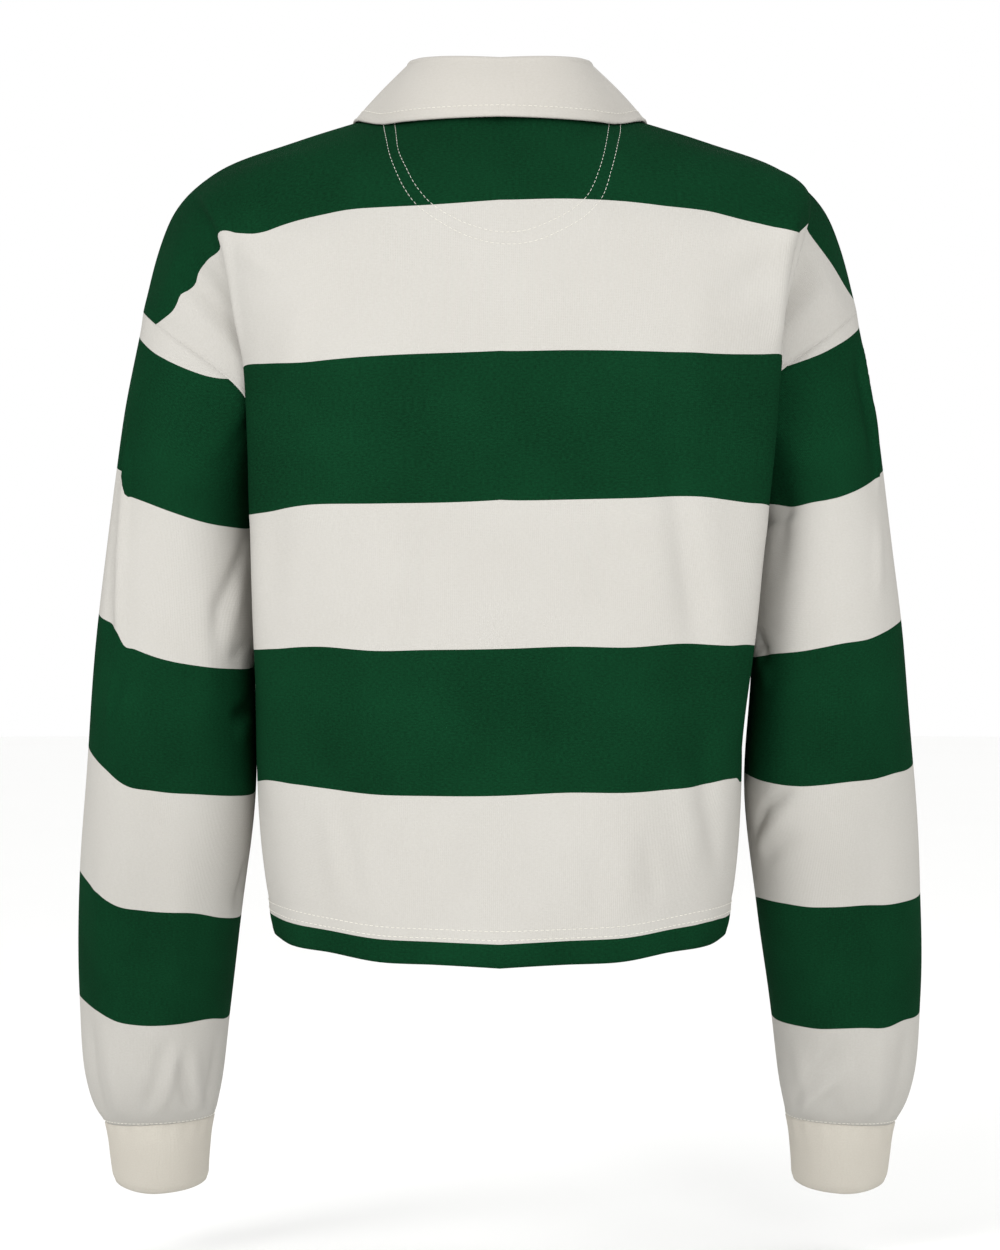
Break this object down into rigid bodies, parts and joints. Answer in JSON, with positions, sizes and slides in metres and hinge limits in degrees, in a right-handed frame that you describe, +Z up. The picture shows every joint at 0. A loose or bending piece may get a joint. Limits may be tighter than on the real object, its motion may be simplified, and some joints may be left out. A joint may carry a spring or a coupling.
{
  "type": "cropped rugby shirt",
  "caption": "Cropped drop-shoulder rugby shirt in wide-striped cotton jersey, with plain knit cuffs, a folded collar and a turned-up hem, filled out as when worn.",
  "frame": {"origin": "middle of the neck opening, level with the two high points of the shoulders, where the wearer carries the shirt", "axes": "+Z up, +Y out of the back, +X towards the shirt's left side"},
  "size_m": [0.522, 0.2718, 0.6967],
  "materials": {
    "striped_jersey": "dry, soft cotton jersey in wide deep green and cream stripes",
    "cuff_knit": "dry cream cotton knit",
    "collar_cloth": "dry cream cotton cloth",
    "button_rubber": "smooth cream rubber"
  },
  "bodies": {
    "root": {"back": "striped_jersey", "front": "striped_jersey", "sleeve_left": "striped_jersey", "sleeve_right": "striped_jersey", "cuff_left": "cuff_knit", "cuff_right": "cuff_knit", "collar": "collar_cloth", "placket_over": "collar_cloth", "placket_under": "collar_cloth", "button_1": "button_rubber", "button_2": "button_rubber", "button_3": "button_rubber"}
  },
  "joints": []
}
